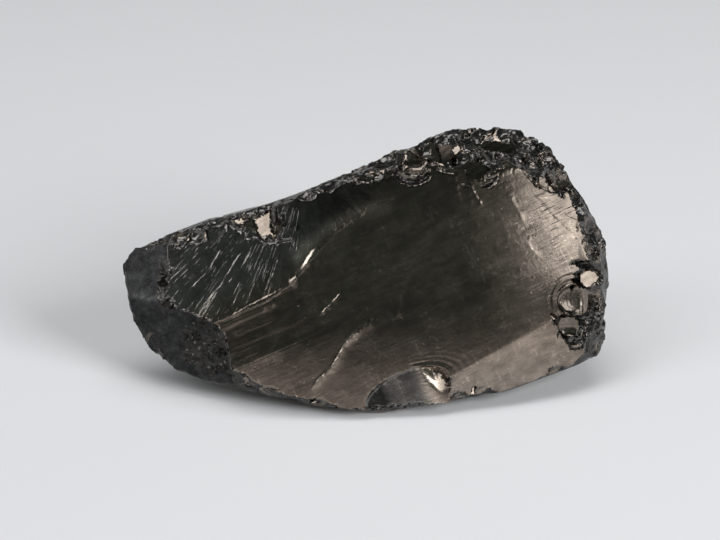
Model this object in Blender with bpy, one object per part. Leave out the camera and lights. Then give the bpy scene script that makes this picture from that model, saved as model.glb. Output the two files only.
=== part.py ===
"""A lump of anthracite, broken from the seam: one solid piece of black, glassy coal.

Coal this hard breaks like glass. Each blow lifts off a shell and leaves a smooth, curved face, and
the sharp edges where the faces meet crumble into small chips. The lump is made the same way here: a
rough block, then the large breaks one after another, then the chips along the edges.

Metres, +Z up. The lump stands on a flat parting with the middle of its base at the origin, and leans
back with its largest break to the front (-Y). Sizes below are in millimetres.
"""

import math
import random

import bmesh
import bpy
from mathutils import Matrix, Vector
from mathutils.bvhtree import BVHTree
from mathutils.geometry import intersect_point_line

MM = 0.001
SEED = 1901

# The largest break is laid out on a plane that leans back. A place on it is given as across to the
# right, up the slope, and forward of the plane.
FACE_LEAN = math.radians(28)
FACE_FOOT = (0.0, -23.0, 2.8)

# It is a low dome, a little flatter up and down than along.
DOME_TOP = (-4.0, 28.0)
DOME_RADIUS_ACROSS = 150.0
DOME_RADIUS_UP = 170.0

# Round the largest break, clockwise from the left: a corner of its rim (across, up), and the corner
# of the block's own edge behind it (across, up, forward). The band between the two is chipped.
RIM_AND_EDGE = (
    ((-35.0, 31.5), (-38.5, 32.5, -6.0)),
    ((-35.0, 28.0), (-43.8, 30.6, -8.5)),
    ((-35.0, 21.0), (-46.0, 27.6, -9.5)),
    ((-30.5, 19.0), (-44.5, 22.5, -8.0)),
    ((-26.5, 17.0), (-44.0, 16.0, -10.0)),
    ((-25.5, 12.0), (-41.0, 11.5, -11.0)),
    ((-25.0, 8.0), (-36.0, 7.5, -10.0)),
    ((-19.0, 5.5), (-28.5, 5.0, -8.0)),
    ((-14.0, 3.0), (-18.0, 3.0, -5.0)),
    ((-6.5, 1.7), (-7.5, 0.5, -5.0)),
    ((3.5, 1.4), (3.0, -0.3, -5.0)),
    ((14.0, 3.6), (14.0, 2.0, -5.0)),
    ((25.5, 5.2), (26.5, 3.6, -6.0)),
    ((34.5, 7.7), (37.0, 7.4, -8.0)),
    ((40.0, 12.5), (44.5, 10.0, -12.0)),
    ((42.5, 15.0), (46.0, 13.0, -12.0)),
    ((42.5, 26.5), (46.0, 24.0, -13.0)),
    ((41.5, 32.0), (46.0, 29.5, -13.0)),
    ((41.0, 36.0), (44.8, 34.0, -12.0)),
    ((36.5, 40.0), (41.5, 40.5, -12.0)),
    ((32.0, 45.0), (38.5, 45.0, -13.0)),
    ((26.5, 46.0), (36.5, 49.5, -16.0)),
    ((18.5, 46.5), (31.0, 53.5, -20.0)),
    ((12.0, 45.5), (22.5, 54.5, -19.0)),
    ((6.5, 45.5), (12.5, 52.7, -12.0)),
    ((-1.0, 43.0), (4.0, 48.2, -8.0)),
    ((-12.0, 39.0), (-12.0, 41.0, -6.0)),
    ((-23.0, 35.5), (-24.5, 36.5, -6.0)),
    ((-30.5, 33.0), (-33.0, 33.5, -6.0)),
)

# The back of the block (X, Y, Z), and the flat parting it stands on (X, Y).
BACK_CORNERS = (
    (28.0, 21.0, 30.0),
    (5.0, 20.0, 32.0),
    (-15.0, 14.0, 24.0),
    (-32.0, 7.0, 16.0),
    (34.0, 21.0, 12.0),
    (5.0, 23.0, 10.0),
    (-18.0, 16.0, 7.0),
    (40.0, 11.0, 8.0),
    (43.0, 9.0, 22.0),
)
PARTING_CORNERS = (
    (-22.0, -7.5),
    (-8.0, -15.5),
    (3.5, -17.5),
    (20.0, -11.0),
    (33.0, -3.0),
    (36.0, 5.0),
    (28.0, 15.0),
    (5.0, 19.0),
    (-14.0, 11.0),
    (-24.0, 1.0),
)

# How far the block stands proud of the dome, for the largest break to be struck off.
STOCK = 6.0

# The upper left of the largest break went off at a slightly different angle. The two surfaces meet
# along a crooked line; above and left of it the upper one falls away by up to its depth.
PLUME_LINE = (
    (-50.0, 8.0),
    (-27.0, 17.0),
    (-18.5, 20.5),
    (-13.5, 24.0),
    (-8.5, 30.0),
    (-4.5, 34.0),
    (3.5, 37.0),
    (8.0, 42.0),
    (14.0, 54.0),
)
PLUME_DEPTH = 1.3
PLUME_FALL = 8.0

# Along the foot on the right a long strip faces a little further down, from a dead straight edge.
STRIP_FROM = (16.8, 7.1)
STRIP_TO = (34.5, 16.8)
STRIP_TILT = math.radians(9)

# At the left end two dull faces meet in a ridge, which this point is on. The lower face curls up and
# stops against a ledge on its right.
RIDGE = (-35.0, 21.0, -3.4)
UPPER_SLOPE = (0.52, -0.05)
LOWER_SLOPE = 0.46
LOWER_RADIUS = 50.0
LOWER_CURL = 0.02
LEDGE_TOP = (-26.6, 17.0)

# Smaller shells round the rim, placed on the plane of the largest break: middle and the way the shell
# faces (across, up, forward), the two radii of its bowl, half its width, cells along a side, and the
# spacing and height of its ribs.
RIM_SHELLS = {
    "top_left_shell": ((-9.9, 41.9, -8.0), (-0.37, 0.93, 0.0), (240.0, 70.0), 32.0, 12, (0.0, 0.0)),
    "right_shell": ((38.8, 20.6, -9.8), (0.42, 0.0, 0.9), (8.5, 8.5), 8.0, 16, (2.2, 0.1)),
    "right_lower_shell": ((39.5, 15.2, -8.2), (0.3, -0.3, 0.9), (7.0, 5.0), 4.5, 8, (0.0, 0.0)),
    "foot_shell": ((8.8, 4.6, -3.7), (0.08, -0.16, 0.98), (40.0, 10.0), 10.0, 14, (0.0, 0.0)),
    "top_hollow": ((27.5, 50.2, -16.5), (0.0, 0.75, 0.66), (24.0, 4.5), 9.0, 12, (0.0, 0.0)),
    "top_notch": ((15.0, 49.0, -10.6), (-0.35, 0.6, 0.72), (3.6, 8.0), 4.5, 8, (0.0, 0.0)),
    "top_ribbed_shell": ((9.6, 47.2, -7.2), (0.1, 0.62, 0.78), (6.0, 6.0), 4.0, 10, (1.6, 0.08)),
    "bright_shell": ((-19.9, 35.6, -3.3), (0.34, 0.24, 0.91), (4.2, 9.0), 3.0, 6, (0.0, 0.0)),
    "small_bright_shell": ((-23.8, 35.4, -3.3), (0.34, 0.4, 0.85), (2.6, 3.4), 2.4, 6, (0.0, 0.0)),
    "left_tip_shell": ((-41.0, 30.5, -7.5), (-0.3, 0.7, 0.6), (12.0, 12.0), 7.0, 8, (0.0, 0.0)),
}

# The large shells of the back, the ends and the underside: the way each faces (X, Y, Z), how deep it
# is sunk below the block, the two radii of its bowl, half its width, cells and ribs.
BACK_SHELLS = {
    "top_back_shell": ((-0.34, 0.68, 0.66), 3.4, (90.0, 60.0), 34.0, 22, (7.5, 0.14)),
    "top_right_shell": ((0.25, 0.45, 0.86), 2.4, (40.0, 34.0), 22.0, 10, (0.0, 0.0)),
    "back_left_shell": ((-0.48, 0.86, 0.16), 3.2, (80.0, 46.0), 28.0, 14, (0.0, 0.0)),
    "back_middle_shell": ((-0.22, 0.97, 0.1), 3.0, (48.0, 60.0), 24.0, 12, (0.0, 0.0)),
    "back_right_shell": ((0.2, 0.98, 0.06), 3.4, (50.0, 70.0), 28.0, 22, (6.5, 0.16)),
    "back_corner_shell": ((0.72, 0.68, 0.12), 2.2, (30.0, 60.0), 22.0, 10, (0.0, 0.0)),
    "right_end_shell": ((0.93, 0.36, 0.0), 1.8, (40.0, 36.0), 18.0, 9, (0.0, 0.0)),
    "right_under_shell": ((0.62, 0.4, -0.68), 1.6, (40.0, 34.0), 26.0, 11, (0.0, 0.0)),
    "back_under_shell": ((0.1, 0.86, -0.5), 2.2, (70.0, 40.0), 28.0, 12, (0.0, 0.0)),
    "left_under_shell": ((-0.56, 0.54, -0.63), 2.4, (60.0, 44.0), 34.0, 14, (0.0, 0.0)),
    "left_end_shell": ((-0.78, 0.58, -0.2), 1.6, (44.0, 36.0), 24.0, 11, (0.0, 0.0)),
}
LUMP_MIDDLE = (3.0, 3.0, 19.0)

# A shell of the back may take this much off the edge round the front, and no more.
EDGE_GIVEN = 0.5

# The chips come in passes, coarse and fine: how many, the least and greatest half width, how far
# apart they are, and how round they are.
CHIP_PASSES = ((110, 1.5, 2.9, 2.4, 2), (130, 0.8, 1.6, 1.4, 1))
CHIP_DEPTH = (0.22, 0.4)
CHIP_STRETCH = (1.1, 1.7)
CHIP_TILT = 0.35

# Front left of this, chips are finer.
COARSE_FROM = 6.0
FINER = 0.6

# An edge sharper than this can chip. Chips keep clear of the parting, and on the front to a band along
# the rim, leaving the part of the rim that borders the dull faces clean. The whole band is chipped
# from the lower right corner round to the left end of the top.
CHIPPED_ANGLE = math.radians(22)
FOOT_KEPT = 0.8
RIM_BAND = 2.4
RIM_CHIPPED_FROM = 7
BAND_CHIPPED_FROM = 15
FRONT_WEIGHT = 3.0
BACK_WEIGHT = 0.7
BAND_WEIGHT = 8.0

SMOOTH_BELOW = math.radians(8.5)


def frame(at, facing, upward):
    """Axes at a place in metres: across, up, and forward, the way a break faces."""
    forward = Vector(facing).normalized()
    across = Vector(upward).cross(forward).normalized()
    up = forward.cross(across)
    axes = Matrix((across, up, forward)).transposed().to_4x4()
    axes.translation = at
    return axes


FACE = frame(
    Vector(FACE_FOOT) * MM,
    (0.0, -math.cos(FACE_LEAN), math.sin(FACE_LEAN)),
    (0.0, math.sin(FACE_LEAN), math.cos(FACE_LEAN)),
)
FACE_TURN = FACE.to_3x3()


def on_face(across, up, forward=0.0):
    return FACE @ (Vector((across, up, forward)) * MM)


def dome(across, up):
    along = (across - DOME_TOP[0]) ** 2 / (2 * DOME_RADIUS_ACROSS)
    upright = (up - DOME_TOP[1]) ** 2 / (2 * DOME_RADIUS_UP)
    return -along - upright


def clear_scene():
    for obj in list(bpy.data.objects):
        bpy.data.objects.remove(obj)


def new_object(name, bm):
    mesh = bpy.data.meshes.new(name)
    bm.to_mesh(mesh)
    bm.free()
    obj = bpy.data.objects.new(name, mesh)
    bpy.context.scene.collection.objects.link(obj)
    return obj


# --- The block: the convex body through all the corners.


def rough_block():
    bm = bmesh.new()
    for (across, up), edge in RIM_AND_EDGE:
        rim = Vector((across, up, dome(across, up)))
        back = Vector(edge)
        front = rim + (rim - back) * (STOCK / (rim.z - back.z))
        bm.verts.new(on_face(*back))
        bm.verts.new(on_face(*front))
    for corner in BACK_CORNERS:
        bm.verts.new(Vector(corner) * MM)
    for x, y in PARTING_CORNERS:
        bm.verts.new(Vector((x, y, 0.0)) * MM)
    bmesh.ops.convex_hull(bm, input=bm.verts)
    inner = [v for v in bm.verts if not v.link_faces]
    bmesh.ops.delete(bm, geom=inner, context="VERTS")
    bmesh.ops.recalc_face_normals(bm, faces=bm.faces)
    return new_object("coal_lump", bm)


# --- The breaks. Each takes away everything in front of a curved surface, given as a height over
# places on a frame.


def break_off(lump, name, axes, height, middle, half, cells, right_side=None):
    bm = bmesh.new()
    bmesh.ops.create_grid(bm, x_segments=cells[0], y_segments=cells[1], size=1.0)
    surface = list(bm.faces)
    for v in bm.verts:
        up = middle[1] + v.co.y * half[1]
        left = middle[0] - half[0]
        right = right_side(up) if right_side else middle[0] + half[0]
        across = left + (right - left) * (v.co.x + 1.0) / 2
        v.co = axes @ (Vector((across, up, height(across, up))) * MM)
    raised = bmesh.ops.extrude_face_region(bm, geom=surface)["geom"]
    outward = axes.to_3x3() @ Vector((0.0, 0.0, 30.0 * MM))
    for v in raised:
        if isinstance(v, bmesh.types.BMVert):
            v.co += outward
    bmesh.ops.recalc_face_normals(bm, faces=bm.faces)
    shell = new_object(name, bm)
    shell.hide_render = True
    shell.display_type = "WIRE"
    cut = lump.modifiers.new(name, "BOOLEAN")
    cut.operation = "DIFFERENCE"
    cut.solver = "EXACT"
    cut.object = shell


def bowl(radii, ribs, half):
    """A hollow with ribs in rings round the place, off its middle, where the blow was struck."""
    spacing, rib_height = ribs
    struck = Vector((half * 0.6, -half * 0.7))

    def height(across, up):
        hollow = across**2 / (2 * radii[0]) + up**2 / (2 * radii[1])
        if not spacing:
            return hollow
        away = (Vector((across, up)) - struck).length
        return hollow + rib_height * math.sin(math.tau * away / spacing)

    return height


def above_plume_line(across, up):
    """How far above and to the left of the plume line a place is."""
    nearest = math.inf
    place = Vector((across, up))
    for one, two in zip(PLUME_LINE, PLUME_LINE[1:]):
        run = Vector(two) - Vector(one)
        share = (place - Vector(one)).dot(run) / run.length_squared
        away = place - Vector(one) - run * min(max(share, 0.0), 1.0)
        if away.length < abs(nearest):
            nearest = math.copysign(away.length, run.x * away.y - run.y * away.x)
    return nearest


def upper_left(across, up):
    return dome(across, up) - PLUME_DEPTH * math.tanh(above_plume_line(across, up) / PLUME_FALL)


def foot_strip(across, up):
    run = (Vector(STRIP_TO) - Vector(STRIP_FROM)).normalized()
    place = Vector((across, up)) - Vector(STRIP_FROM)
    below = run.y * place.x - run.x * place.y
    return dome(across, up) - math.tan(STRIP_TILT) * below


def dull_upper(across, up):
    from_ridge = Vector((across, up)) - Vector(RIDGE[:2])
    return RIDGE[2] + from_ridge.dot(Vector(UPPER_SLOPE))


def dull_lower(across, up):
    right, over = Vector((across, up)) - Vector(RIDGE[:2])
    rounded = right**2 / (2 * LOWER_RADIUS)
    curl = LOWER_CURL * max(right - 2.0, 0.0) ** 2
    return RIDGE[2] + LOWER_SLOPE * (right + over) - rounded + curl


def ledge(up):
    below = LEDGE_TOP[1] - up
    return LEDGE_TOP[0] + (0.19 * below if below > 0.0 else -2.0 * below)


def front_breaks(lump):
    break_off(lump, "main_break", FACE, dome, (0.0, 26.0), (52.0, 32.0), (24, 15))
    break_off(lump, "upper_left_break", FACE, upper_left, (-16.0, 32.0), (34.0, 24.0), (26, 18))
    break_off(lump, "foot_strip", FACE, foot_strip, (30.0, 8.0), (20.0, 12.0), (8, 5))
    break_off(lump, "dull_upper_face", FACE, dull_upper, (-42.0, 28.0), (10.0, 14.0), (6, 8))
    break_off(lump, "dull_lower_face", FACE, dull_lower, (-36.0, 12.0), (16.0, 14.0), (10, 10), ledge)


def rim_shells(lump):
    for name, (middle, facing, radii, half, cells, ribs) in RIM_SHELLS.items():
        axes = frame(on_face(*middle), FACE_TURN @ Vector(facing), (0.0, 0.1, 1.0))
        break_off(lump, name, axes, bowl(radii, ribs, half), (0.0, 0.0), (half, half), (cells, cells))


def back_shells(lump, block):
    """Sink each shell into the block, then draw it out again until the front edge is left alone."""
    for name, (facing, sunk, radii, half, cells, ribs) in BACK_SHELLS.items():
        outward = Vector(facing).normalized()
        surface = block.ray_cast(Vector(LUMP_MIDDLE) * MM, outward)[0]
        axes = frame(surface - outward * sunk * MM, outward, (0.0, 0.1, 1.0))
        to_shell = axes.inverted()
        hollow = bowl(radii, (0.0, 0.0), half)
        taken = []
        for _, edge in RIM_AND_EDGE:
            place = to_shell @ on_face(*edge) / MM
            taken.append(place.z - hollow(place.x, place.y))
        axes.translation += outward * max(max(taken) - EDGE_GIVEN, 0.0) * MM
        break_off(lump, name, axes, bowl(radii, ribs, half), (0.0, 0.0), (half, half), (cells, cells))


def settle(lump):
    """Keep the shape broken so far as the lump's own mesh, and clear away what it was cut with."""
    bpy.context.view_layer.update()
    shaped = lump.evaluated_get(bpy.context.evaluated_depsgraph_get())
    lump.data = bpy.data.meshes.new_from_object(shaped)
    lump.modifiers.clear()
    for obj in list(bpy.data.objects):
        if obj != lump:
            bpy.data.objects.remove(obj)


# --- The chips: small hollows taken out of the sharp edges.


def off_the_rim(place):
    """How far a place on the face's plane is from the chipped rim or the block's own edge."""
    rim = [corner for corner, _ in RIM_AND_EDGE[RIM_CHIPPED_FROM:]]
    edge = [corner[:2] for _, corner in RIM_AND_EDGE]
    nearest = math.inf
    for line in (rim, edge):
        for one, two in zip(line, line[1:] + line[:1]):
            foot, share = intersect_point_line(place, one, two)
            if 0.0 <= share <= 1.0:
                nearest = min(nearest, (foot - place).length)
    return nearest


def sharp_edges(lump):
    """The ends, way out and weight of every edge that can chip."""
    forward = FACE_TURN @ Vector((0.0, 0.0, 1.0))
    edges = []
    bm = bmesh.new()
    bm.from_mesh(lump.data)
    for e in bm.edges:
        one, two = (v.co.copy() for v in e.verts)
        if min(one.z, two.z) < FOOT_KEPT * MM or e.calc_face_angle_signed(0.0) < CHIPPED_ANGLE:
            continue
        out = sum((f.normal for f in e.link_faces), Vector()).normalized()
        weight = BACK_WEIGHT
        if out.dot(forward) > 0.1:
            place = FACE.inverted() @ ((one + two) / 2) / MM
            weight = FRONT_WEIGHT if off_the_rim(place.to_2d()) < RIM_BAND else 0.0
        edges.append((one, two, out, weight * e.calc_length()))
    bm.free()
    return edges


def lines_across_band():
    lines = []
    for (across, up), edge in RIM_AND_EDGE[BAND_CHIPPED_FROM:]:
        one = on_face(across, up, dome(across, up))
        two = on_face(*edge)
        out = FACE_TURN @ Vector((edge[0] - across, edge[1] - up, 5.0)).normalized()
        lines.append((one, two, out, BAND_WEIGHT * (two - one).length))
    return lines


def places_on(lines, chance, count, apart):
    """Places along the lines, heavy lines more often, none closer together than given."""
    weights = [weight for _, _, _, weight in lines]
    kept = []
    for one, two, out, _ in chance.choices(lines, weights, k=count * 12):
        place = one.lerp(two, chance.random())
        if all((place - other).length > apart * MM for other, _ in kept):
            kept.append((place, out))
    return kept[:count]


def chip_edges(lump, chance, number, count, least, greatest, apart, roundness):
    chips = bpy.data.collections.new(f"chips_{number}")
    forward = FACE_TURN @ Vector((0.0, 0.0, 1.0))
    lines = sharp_edges(lump) + lines_across_band()
    for i, (place, out) in enumerate(places_on(lines, chance, count, apart)):
        half = least * (greatest / least) ** (chance.random() ** 2)
        if out.dot(forward) > 0.1 and place.x < COARSE_FROM * MM:
            half *= FINER
        depth = half * chance.uniform(*CHIP_DEPTH)
        radius = (half**2 + depth**2) / (2 * depth)
        tilt = Vector([chance.uniform(-CHIP_TILT, CHIP_TILT) for _ in range(3)])
        out = (out + tilt).normalized()
        shape = Matrix.Translation(place + out * (radius - depth) * MM)
        shape @= out.to_track_quat("Z", "Y").to_matrix().to_4x4()
        shape @= Matrix.Rotation(chance.uniform(0.0, math.tau), 4, "Z")
        shape @= Matrix.Diagonal((1.0, chance.uniform(*CHIP_STRETCH), 1.0, 1.0))
        bm = bmesh.new()
        bmesh.ops.create_icosphere(bm, subdivisions=roundness, radius=radius * MM, matrix=shape)
        chip = new_object(f"chip_{number}_{i}", bm)
        bpy.context.scene.collection.objects.unlink(chip)
        chips.objects.link(chip)
    bpy.context.scene.collection.children.link(chips)
    cut = lump.modifiers.new(chips.name, "BOOLEAN")
    cut.operation = "DIFFERENCE"
    cut.solver = "EXACT"
    cut.operand_type = "COLLECTION"
    cut.collection = chips
    settle(lump)
    bpy.data.collections.remove(chips)


def set_down(lump):
    """Put the middle of the base at the origin."""
    xs, ys, zs = zip(*(v.co for v in lump.data.vertices))
    middle = Vector((min(xs) + max(xs), min(ys) + max(ys), 2 * min(zs))) / 2
    lump.data.transform(Matrix.Translation(-middle))


def anthracite():
    material = bpy.data.materials.new("anthracite")
    material.use_nodes = True
    surface = material.node_tree.nodes["Principled BSDF"]
    surface.inputs["Base Color"].default_value = (0.022, 0.020, 0.018, 1.0)
    surface.inputs["Roughness"].default_value = 0.22
    surface.inputs["Metallic"].default_value = 0.0
    return material


def main():
    clear_scene()
    lump = rough_block()
    block = BVHTree.FromPolygons(
        [v.co for v in lump.data.vertices], [p.vertices[:] for p in lump.data.polygons]
    )
    front_breaks(lump)
    back_shells(lump, block)
    rim_shells(lump)
    settle(lump)
    chance = random.Random(SEED)
    for number, chips in enumerate(CHIP_PASSES, 1):
        chip_edges(lump, chance, number, *chips)
    set_down(lump)
    lump.data.polygons.foreach_set("use_smooth", [True] * len(lump.data.polygons))
    lump.data.set_sharp_from_angle(angle=SMOOTH_BELOW)
    lump.data.materials.append(anthracite())


main()
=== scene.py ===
"""A lump of anthracite, 92 mm long, standing on a pale table in soft daylight."""

import math
import random

import bmesh
import bpy
import numpy as np
from mathutils import Matrix, Vector
from mathutils.bvhtree import BVHTree
from mathutils.kdtree import KDTree


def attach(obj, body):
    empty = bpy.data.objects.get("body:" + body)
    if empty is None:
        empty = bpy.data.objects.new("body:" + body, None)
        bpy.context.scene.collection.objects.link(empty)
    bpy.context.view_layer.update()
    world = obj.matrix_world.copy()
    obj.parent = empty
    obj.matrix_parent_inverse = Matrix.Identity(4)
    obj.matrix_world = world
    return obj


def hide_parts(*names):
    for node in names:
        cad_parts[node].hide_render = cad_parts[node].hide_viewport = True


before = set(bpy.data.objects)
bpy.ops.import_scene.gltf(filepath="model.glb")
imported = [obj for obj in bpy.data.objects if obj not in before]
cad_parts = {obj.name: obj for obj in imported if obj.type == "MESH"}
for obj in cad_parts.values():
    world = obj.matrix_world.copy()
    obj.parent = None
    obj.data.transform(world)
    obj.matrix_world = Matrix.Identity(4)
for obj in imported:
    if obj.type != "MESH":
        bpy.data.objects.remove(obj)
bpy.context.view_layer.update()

# --- The lump as it left the seam.
# One solid piece of anthracite. Coal this hard has no grain to speak of, so it broke in shells and
# left curved faces with sharp edges. The solid is taken over and given a mesh fine enough to carry
# what the breaks left on the faces.

MM = 0.001
COARSE_CELL = 0.6
SHARP_TURN = math.radians(24)
EDGE_STEP = 0.4

# The largest break faces front and leans back. Places on it are across to the right, up the slope,
# and forward of its plane, in millimetres.
FACE_LEAN = math.radians(28)
FACE_FOOT = np.array((0.0, -23.0, 2.8))
FACE_AXES = np.array(
    (
        (1.0, 0.0, 0.0),
        (0.0, math.sin(FACE_LEAN), math.cos(FACE_LEAN)),
        (0.0, -math.cos(FACE_LEAN), math.sin(FACE_LEAN)),
    )
)


def from_face(places):
    """Places on the great face as points in metres, in the lump's own frame."""
    return (places @ FACE_AXES + FACE_FOOT) * MM


# The mesh is laid out square to that face, and turned back when the lump is finished.
to_face = Matrix(FACE_AXES / MM).to_4x4()
to_face.translation = -Vector(FACE_AXES @ FACE_FOOT)
bm = bmesh.new()
bm.from_mesh(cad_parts["coal_lump"].data)
bmesh.ops.remove_doubles(bm, verts=bm.verts, dist=1e-7)
bmesh.ops.transform(bm, matrix=to_face, verts=bm.verts)
solid = BVHTree.FromBMesh(bm)

# Where two breaks meet in a sharp edge, a place is kept every 0.4 mm.
on_edges = []
for e in bm.edges:
    if e.calc_face_angle(0.0) > SHARP_TURN:
        one, two = e.verts[0].co.copy(), e.verts[1].co.copy()
        steps = max(int((two - one).length / EDGE_STEP), 1)
        on_edges += [one.lerp(two, (i + 0.5) / steps) for i in range(steps)]
sharp = KDTree(len(on_edges))
for i, place in enumerate(on_edges):
    sharp.insert(place, i)
sharp.balance()
skin = bpy.data.meshes.new("anthracite_lump")
bm.to_mesh(skin)
bm.free()
lump = bpy.data.objects.new("anthracite_lump", skin)
bpy.context.scene.collection.objects.link(lump)
even_out = lump.modifiers.new("even_out", "REMESH")
even_out.mode = "VOXEL"
even_out.voxel_size = COARSE_CELL
bpy.context.view_layer.update()
evened = lump.evaluated_get(bpy.context.evaluated_depsgraph_get())
lump.data = bpy.data.meshes.new_from_object(evened)
lump.modifiers.clear()

# --- The hackles, the fine steps that run with the break across the great face.
# Each is a thin blade of coal left where two parts of the crack ran side by side at slightly
# different levels: steep on one side, falling away slowly on the other.

# On the upper left they all run towards one point above the lump's top edge.
FAN_FROM = np.array((-10.0, 51.0))
CLIMB_STEP = 0.6
DRIFT_KEPT = 0.7
WANDER_STEP = 0.5
WANDER = 0.05

chance = random.Random(1907)


def climbing_line(start, length, sway):
    """A line from start towards the fan's point, each step of it turned by about sway degrees."""
    line = [np.array(start)]
    drift = 0.0
    for _ in range(max(int(length / CLIMB_STEP), 2)):
        drift = DRIFT_KEPT * drift + chance.gauss(0.0, sway)
        ahead = FAN_FROM - line[-1]
        turn = math.atan2(ahead[1], ahead[0]) + math.radians(drift)
        line.append(line[-1] + CLIMB_STEP * np.array((math.cos(turn), math.sin(turn))))
    return line


def wandering(line):
    """The same line in steps of half a millimetre, none of them quite straight."""
    found = []
    for one, two in zip(line, line[1:]):
        run = np.subtract(two, one)
        steps = max(int(np.hypot(*run) / WANDER_STEP), 1)
        for i in range(steps):
            aside = (chance.gauss(0.0, WANDER), chance.gauss(0.0, WANDER))
            found.append(one + run * i / steps + aside)
    return found + [np.array(line[-1])]


# Each hackle: its line, how high it stands, how wide its steep and its slow side are, and which side
# is steep: 1 the left going along it, -1 the right.
hackles = []
FAN_STEEP = 0.17
FAN_SLOW = 0.4
for line, height in (
    (((-33.7, 21.9), (-30.8, 24.7), (-29.5, 26.0), (-28.4, 27.6), (-27.2, 29.6), (-25.9, 31.6)), 0.105),
    (((-30.6, 18.4), (-28.4, 21.7), (-26.8, 23.8), (-25.4, 26.0), (-23.6, 28.9), (-22.1, 30.9)), 0.112),
    (((-26.8, 23.1), (-24.8, 24.7), (-22.7, 27.4), (-21.4, 29.6), (-20.3, 30.9)), 0.084),
    (((-32.6, 24.9), (-31.5, 26.0)), 0.063),
    (((-30.6, 27.8), (-28.4, 30.5)), 0.063),
    (((-32.6, 28.7), (-30.6, 31.4)), 0.063),
    (((-18.7, 22.2), (-17.4, 24.9), (-16.2, 28.0)), 0.091),
    (((-17.8, 22.4), (-16.5, 25.1), (-15.3, 27.8)), 0.056),
    (((-26.1, 18.0), (-24.8, 19.7), (-23.9, 21.1)), 0.07),
    (((-22.6, 26.9), (-21.5, 29.1), (-20.7, 30.4)), 0.056),
    (((-29.0, 24.8), (-28.0, 26.1), (-27.3, 27.7)), 0.07),
):
    hackles.append((wandering(line), height, FAN_STEEP, FAN_SLOW, 1))

# Many more climb the same way, most of them very low, and close ripples fill the fan's steep right
# side. Each kind has its count, where its lines start across and up, its least height, how much
# higher they get and how rare the high ones are, how long they are, how they sway in degrees, and
# its steep and slow widths.
for count, far_across, far_up, least, more, rare, lengths, sway, steep, slow in (
    (90, (-35.0, -12.0), (17.5, 33.0), 0.01, 0.09, 3, (1.5, 5.0), 8.0, 0.12, 0.4),
    (26, (-16.5, -11.5), (26.5, 34.0), 0.03, 0.03, 1, (2.0, 5.0), 4.0, 0.1, 0.25),
):
    for _ in range(count):
        start = (chance.uniform(*far_across), chance.uniform(*far_up))
        height = least + more * chance.random() ** rare
        hackles.append((climbing_line(start, chance.uniform(*lengths), sway), height, steep, slow, 1))

# Short upright ones are scattered to the right of the middle.
UPRIGHT_COUNT = 34
UPRIGHT_STEEP = 0.12
UPRIGHT_SLOW = 0.3
for _ in range(UPRIGHT_COUNT):
    start = np.array((chance.uniform(17.0, 31.0), chance.uniform(20.0, 42.0)))
    end = start + (chance.uniform(-0.3, 0.2), chance.uniform(0.5, 1.6))
    hackles.append(((start, end), chance.uniform(0.012, 0.04), UPRIGHT_STEEP, UPRIGHT_SLOW, -1))

# A row of short ones stands along the top of the right end.
ROW_START = (20.5, 42.2)
ROW_STEP = (0.82, 0.28)
ROW_COUNT = 13
ROW_HEIGHT = 0.06
ROW_STEEP = 0.14
ROW_SLOW = 0.4
for i in range(ROW_COUNT):
    x = ROW_START[0] + i * ROW_STEP[0]
    y = ROW_START[1] + i * ROW_STEP[1] + chance.uniform(-0.3, 0.3)
    turn = math.radians(chance.uniform(55.0, 80.0))
    length = chance.uniform(0.8, 1.6)
    line = ((x, y), (x + length * math.cos(turn), y + length * math.sin(turn)))
    hackles.append((line, ROW_HEIGHT, ROW_STEEP, ROW_SLOW, -1))

# The rest stand alone. Where the height is below nothing the line is a groove.
for line, height, steep, slow in (
    (((-26.9, 17.2), (-24.4, 18.1), (-21.6, 19.8), (-18.1, 21.5), (-14.8, 23.2)), 0.12, 0.25, 1.2),
    (((-14.1, 23.9), (-13.4, 24.6), (-12.7, 25.3)), 0.22, 0.4, 0.5),
    (((-12.3, 25.9), (-10.8, 27.8), (-9.6, 29.8), (-8.7, 30.9)), 0.235, 0.5, 0.6),
    (((-10.1, 4.2), (-8.3, 6.4), (-6.3, 8.1), (-5.3, 9.7)), 0.18, 0.22, 0.5),
    (((-6.6, 7.9), (-5.3, 9.7), (-4.4, 11.4), (-3.3, 13.1), (-1.6, 15.1), (-0.4, 16.2)), 0.24, 0.24, 0.5),
    (((-1.9, 14.7), (-0.7, 16.0), (1.1, 16.9), (1.9, 17.7)), 0.16, 0.2, 0.8),
    (((-8.8, 17.5), (-7.7, 18.8), (-6.3, 20.1), (-5.3, 21.2), (-3.9, 23.0)), 0.17, 0.18, 0.8),
    (((-8.9, 30.6), (-6.3, 33.0), (-4.4, 34.6), (-1.3, 35.9), (1.1, 36.5)), 0.05, 0.35, 1.6),
    (((12.0, 29.0), (20.0, 31.6), (28.4, 34.0)), 0.02, 0.2, 1.6),
    (((5.9, 17.1), (6.5, 19.3), (7.2, 22.1), (8.2, 25.8)), 0.12, 0.2, 0.8),
    (((16.7, 45.5), (17.0, 42.5), (18.0, 38.5)), 0.05, 0.12, 0.5),
    (((19.2, 43.5), (19.9, 42.0), (20.8, 40.3), (22.0, 38.2)), 0.08, 0.14, 0.6),
    (((31.0, 41.1), (33.9, 38.1), (35.6, 36.1), (37.2, 34.6), (40.4, 32.3)), -0.07, 0.14, 0.14),
    (((28.6, 33.3), (30.8, 35.0), (34.3, 37.0)), -0.07, 0.13, 0.13),
    (((27.2, 41.3), (27.8, 39.4), (28.7, 38.0), (29.6, 35.9), (30.2, 35.0)), 0.05, 0.16, 0.7),
    (((30.2, 32.4), (31.3, 30.4), (33.1, 28.6)), 0.04, 0.16, 0.7),
):
    hackles.append((wandering(line), height, steep, slow, 1))


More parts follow.
